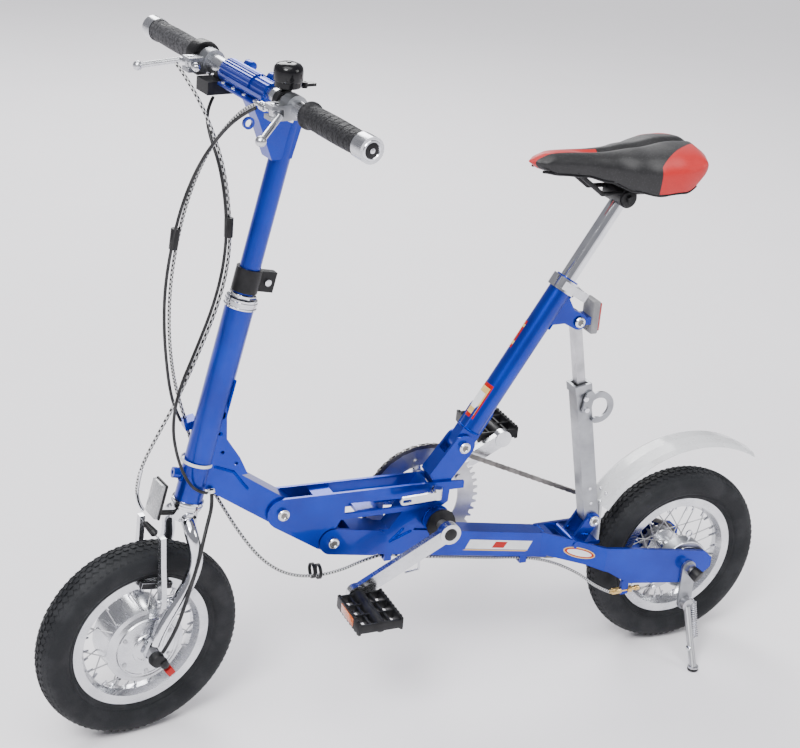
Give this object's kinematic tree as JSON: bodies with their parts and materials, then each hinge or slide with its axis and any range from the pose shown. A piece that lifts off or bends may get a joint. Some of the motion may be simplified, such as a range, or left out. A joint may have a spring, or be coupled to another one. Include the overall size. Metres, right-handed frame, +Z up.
{
  "type": "folding bicycle",
  "caption": "Folding electric bicycle with small wheels, a blue aluminium frame, a tilting seat tube on a telescopic stay and a front hub motor.",
  "frame": {"origin": "on the ground under the middle of the bicycle's bounding box", "axes": "-X forward, +X towards the rear wheel, +Y to the rider's right (the chain side), +Z up"},
  "size_m": [1.2526, 0.5968, 1.0288],
  "materials": {
    "frame_blue": "gloss",
    "polished": "polished",
    "chrome": "polished",
    "steel": "satin",
    "tyre": "matte",
    "black_plastic": "matte",
    "black_gloss": "gloss",
    "grip": "matte",
    "saddle_cover": "matte",
    "red_lens": "gloss",
    "clear_lens": "gloss",
    "guard": "gloss",
    "cable_black": "gloss"
  },
  "bodies": {
    "rear_frame": {"rear_frame": "frame_blue", "bottom_bracket_cups": "steel", "rear_axle": "steel", "band_brake": "polished", "kickstand_bracket": "steel", "rear_mudguard": "guard", "frame_bolts": "steel", "chain": "steel", "rear_brake_cable_beam": "cable_black"},
    "front_frame": {"front_frame": "frame_blue", "headset_cups": "chrome", "front_frame_bolts": "chrome", "rear_brake_cable_fold": "cable_black"},
    "frame_lever": {"frame_lever": "chrome"},
    "steering": {"fork": "chrome", "front_axle": "steel", "stem": "frame_blue", "stem_strap": "black_plastic", "bar_clamp": "frame_blue", "handlebar": "polished", "grip_left": "grip", "lever_brackets": "polished", "bell": "black_gloss", "throttle_housing": "black_plastic", "front_reflector": "clear_lens", "front_brake_cable": "cable_black", "rear_brake_cable_bars": "cable_black"},
    "front_wheel": {"front_hub": "polished", "front_spokes": "steel", "front_rim": "polished", "front_tyre": "tyre"},
    "rear_wheel": {"rear_hub": "polished", "rear_spokes": "steel", "rear_rim": "polished", "rear_tyre": "tyre"},
    "sprocket": {"rear_sprocket": "steel"},
    "crank": {"bottom_bracket_axle": "steel", "crank_left": "polished", "crank_right": "polished", "chainring": "steel"},
    "left_pedal": {"pedal_left": "black_plastic"},
    "right_pedal": {"pedal_right": "black_plastic"},
    "kickstand": {"kickstand_leg": "steel"},
    "seat": {"seat_tube": "frame_blue", "seat_clamp": "chrome", "rear_reflector": "red_lens"},
    "post_lever": {"seat_lever": "chrome"},
    "post": {"seat_post": "chrome", "saddle_rails": "steel", "saddle": "saddle_cover"},
    "outer_stay": {"stay_outer": "polished"},
    "inner_stay": {"stay_inner": "steel"},
    "latch": {"stay_latch": "steel"},
    "left_brake_arm": {"brake_arm_left": "polished"},
    "right_brake_arm": {"brake_arm_right": "polished"},
    "left_brake_lever": {"brake_lever_left": "polished"},
    "right_brake_lever": {"brake_lever_right": "polished"},
    "throttle": {"grip_right": "grip"},
    "bell_thumb": {"bell_lever": "black_gloss"},
    "rear_brake_arm": {"band_brake_arm": "steel"}
  },
  "joints": [
    {"name": "fold", "type": "hinge", "parent": "rear_frame", "child": "front_frame", "pos_m": [-0.17072, 0.01273, 0.2834], "axis": [0, -1, 0], "range_deg": [0, 85], "deforming": ["rear_brake_cable_fold"]},
    {"name": "frame_lever_swing", "type": "hinge", "parent": "front_frame", "child": "frame_lever", "pos_m": [-0.00872, -0.02357, 0.3534], "axis": [0, 0, 1], "range_deg": [0, 90]},
    {"name": "steer", "type": "hinge", "parent": "front_frame", "child": "steering", "pos_m": [-0.39472, 0.01273, 0.3794], "axis": [0.2198, 0, 0.9755], "range_deg": [-55, 35], "deforming": ["rear_brake_cable_bars"]},
    {"name": "front_wheel_spin", "type": "hinge", "parent": "steering", "child": "front_wheel", "pos_m": [-0.46738, 0.00876, 0.15932], "axis": [-0.1694, 0.9848, 0.0382], "continuous": true},
    {"name": "rear_wheel_spin", "type": "hinge", "parent": "rear_frame", "child": "rear_wheel", "pos_m": [0.46728, 0.01273, 0.1594], "axis": [0, 1, 0], "continuous": true},
    {"name": "crank_spin", "type": "hinge", "parent": "rear_frame", "child": "crank", "pos_m": [0.00228, 0.01273, 0.2984], "axis": [0, 1, 0], "continuous": true},
    {"name": "sprocket_spin", "type": "hinge", "parent": "rear_frame", "child": "sprocket", "pos_m": [0.46728, 0.01273, 0.1594], "axis": [0, 1, 0], "continuous": true},
    {"name": "left_pedal_spin", "type": "hinge", "parent": "crank", "child": "left_pedal", "pos_m": [-0.14641, 0.01273, 0.21598], "axis": [0, 1, 0], "continuous": true},
    {"name": "right_pedal_spin", "type": "hinge", "parent": "crank", "child": "right_pedal", "pos_m": [0.15096, 0.01273, 0.38082], "axis": [0, 1, 0], "continuous": true},
    {"name": "kickstand_swing", "type": "hinge", "parent": "rear_frame", "child": "kickstand", "pos_m": [0.46928, 0.01273, 0.0934], "axis": [0, -1, 0], "range_deg": [0, 95]},
    {"name": "seat_fold", "type": "hinge", "parent": "rear_frame", "child": "seat", "pos_m": [0.03928, 0.01273, 0.4164], "axis": [0, 1, 0], "range_deg": [0, 18]},
    {"name": "stay_foot_swing", "type": "hinge", "parent": "rear_frame", "child": "outer_stay", "pos_m": [0.29128, 0.01273, 0.2544], "axis": [0, -1, 0], "range_deg": [-7.5, 0]},
    {"name": "stay_top_swing", "type": "hinge", "parent": "seat", "child": "inner_stay", "pos_m": [0.21828, 0.01273, 0.6084], "axis": [0, -1, 0], "range_deg": [0, 11]},
    {"name": "latch_swing", "type": "hinge", "parent": "outer_stay", "child": "latch", "pos_m": [0.24927, 0.01273, 0.45811], "axis": [0, 1, 0], "range_deg": [0, 60]},
    {"name": "post_lever_swing", "type": "hinge", "parent": "seat", "child": "post_lever", "pos_m": [0.21419, -0.00827, 0.65313], "axis": [0.515, 0, 0.8572], "range_deg": [0, 90]},
    {"name": "post_height", "type": "slide", "parent": "seat", "child": "post", "axis": [0.515, 0, 0.8572], "range_m": [-0.06, 0.04]},
    {"name": "left_lever_pull", "type": "hinge", "parent": "steering", "child": "left_brake_lever", "pos_m": [-0.34022, -0.12114, 0.98355], "axis": [0.0033, -0.0382, 0.9993], "range_deg": [0, 20], "stiffness_Nm_per_rad": 0.6},
    {"name": "left_arm_squeeze", "type": "hinge", "parent": "steering", "child": "left_brake_arm", "pos_m": [-0.44424, -0.03294, 0.23771], "axis": [-0.9855, -0.1694, -0.0033], "range_deg": [0, 4], "stiffness_Nm_per_rad": 3},
    {"name": "right_lever_pull", "type": "hinge", "parent": "steering", "child": "right_brake_lever", "pos_m": [-0.3802, 0.11128, 0.99256], "axis": [-0.0033, 0.0382, -0.9993], "range_deg": [0, 20], "stiffness_Nm_per_rad": 0.6},
    {"name": "right_arm_squeeze", "type": "hinge", "parent": "steering", "child": "right_brake_arm", "pos_m": [-0.45847, 0.04978, 0.24092], "axis": [0.9855, 0.1694, 0.0033], "range_deg": [0, 4], "stiffness_Nm_per_rad": 3},
    {"name": "throttle_twist", "type": "hinge", "parent": "steering", "child": "throttle", "pos_m": [-0.33064, 0, 0.99215], "axis": [-0.1694, 0.9848, 0.0382], "range_deg": [0, 70], "stiffness_Nm_per_rad": 0.15},
    {"name": "bell_ring", "type": "hinge", "parent": "steering", "child": "bell_thumb", "pos_m": [-0.28708, -0.08248, 1.00788], "axis": [0.0033, -0.0382, 0.9993], "range_deg": [0, 25], "stiffness_Nm_per_rad": 0.05},
    {"name": "rear_brake_pull", "type": "hinge", "parent": "rear_frame", "child": "rear_brake_arm", "pos_m": [0.43728, 0.01273, 0.1354], "axis": [0, -1, 0], "range_deg": [0, 12], "stiffness_Nm_per_rad": 0.5}
  ],
  "couplings": [
    {"joint": "sprocket_spin", "follows": "crank_spin", "ratio": 3},
    {"joint": "stay_foot_swing", "follows": "seat_fold", "ratio": -0.4},
    {"joint": "stay_top_swing", "follows": "seat_fold", "ratio": 0.6}
  ]
}
